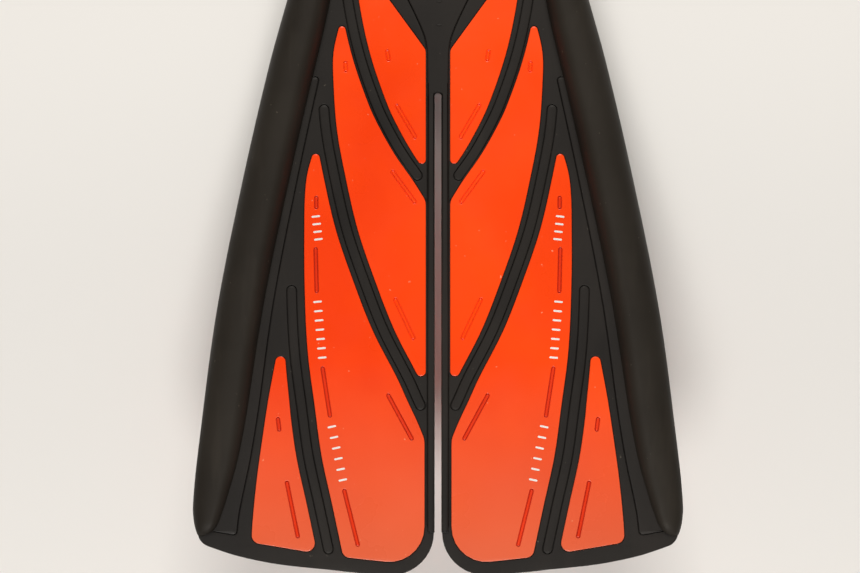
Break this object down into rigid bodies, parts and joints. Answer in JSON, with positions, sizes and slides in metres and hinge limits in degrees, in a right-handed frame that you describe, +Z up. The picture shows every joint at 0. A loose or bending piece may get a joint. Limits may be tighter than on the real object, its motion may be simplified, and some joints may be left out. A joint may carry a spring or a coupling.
{
  "type": "split-blade swim fin",
  "caption": "Open-heel swim fin with a split two-part blade between side rails, a foot pocket and a heel strap on quick buckles.",
  "frame": {"origin": "middle of the footprint on the ground, under the fin's bounding box", "axes": "+Y from the blade's tip to the heel, +X to the right seen from above with the heel up, +Z up"},
  "size_m": [0.23, 0.6116, 0.0908],
  "materials": {
    "rubber": "satin moulded rubber",
    "hard_black": "fine texture",
    "orange": "semi-gloss, slightly translucent",
    "steel": "brushed stainless steel"
  },
  "bodies": {
    "foot": {"sole_plate": "hard_black", "ball_tread": "rubber", "heel_tread": "rubber", "footbed": "rubber", "pocket_upper": "rubber", "toe_block": "rubber", "toe_keel": "rubber", "blade_root": "rubber", "root_panels": "orange", "root_battens": "hard_black", "left_rail_root": "rubber", "right_rail_root": "rubber", "left_side_arm": "hard_black", "right_side_arm": "hard_black", "left_strap_post": "steel", "right_strap_post": "steel", "post_screws": "steel"},
    "left_blade": {"left_web": "rubber", "left_side_rail": "rubber", "left_flange": "rubber", "left_slot_lip": "rubber", "left_inner_panel": "orange", "left_second_panel": "orange", "left_main_panel": "orange", "left_outer_panel": "orange", "left_inner_batten": "hard_black", "left_middle_batten": "hard_black", "left_outer_batten": "hard_black"},
    "right_blade": {"right_web": "rubber", "right_side_rail": "rubber", "right_flange": "rubber", "right_slot_lip": "rubber", "right_inner_panel": "orange", "right_second_panel": "orange", "right_main_panel": "orange", "right_outer_panel": "orange", "right_inner_batten": "hard_black", "right_middle_batten": "hard_black", "right_outer_batten": "hard_black"},
    "strap": {"heel_strap": "rubber", "heel_pad": "rubber", "pull_tab": "rubber", "left_buckle_frame": "hard_black", "right_buckle_frame": "hard_black", "lever_pins": "steel", "lever_springs": "steel"},
    "left_lever": {"left_tension_lever": "hard_black"},
    "right_lever": {"right_tension_lever": "hard_black"}
  },
  "joints": [
    {"name": "left_blade_flex", "type": "hinge", "parent": "foot", "child": "left_blade", "pos_m": [0, -0.0826, 0.014], "axis": [1, 0, 0], "range_deg": [-18, 18], "stiffness_Nm_per_rad": 11, "springref_deg": 1.15},
    {"name": "right_blade_flex", "type": "hinge", "parent": "foot", "child": "right_blade", "pos_m": [0, -0.0826, 0.014], "axis": [1, 0, 0], "range_deg": [-18, 18], "stiffness_Nm_per_rad": 11, "springref_deg": 1.15},
    {"name": "strap_swing", "type": "hinge", "parent": "foot", "child": "strap", "pos_m": [0, 0.1492, 0.045], "axis": [1, 0, 0], "range_deg": [0, 100]},
    {"name": "left_lever", "type": "hinge", "parent": "strap", "child": "left_lever", "pos_m": [-0.07019, 0.1872, 0.045], "axis": [0, 0, 1], "range_deg": [0, 35], "stiffness_Nm_per_rad": 0.05},
    {"name": "right_lever", "type": "hinge", "parent": "strap", "child": "right_lever", "pos_m": [0.07019, 0.1872, 0.045], "axis": [0, 0, -1], "range_deg": [0, 35], "stiffness_Nm_per_rad": 0.05}
  ]
}
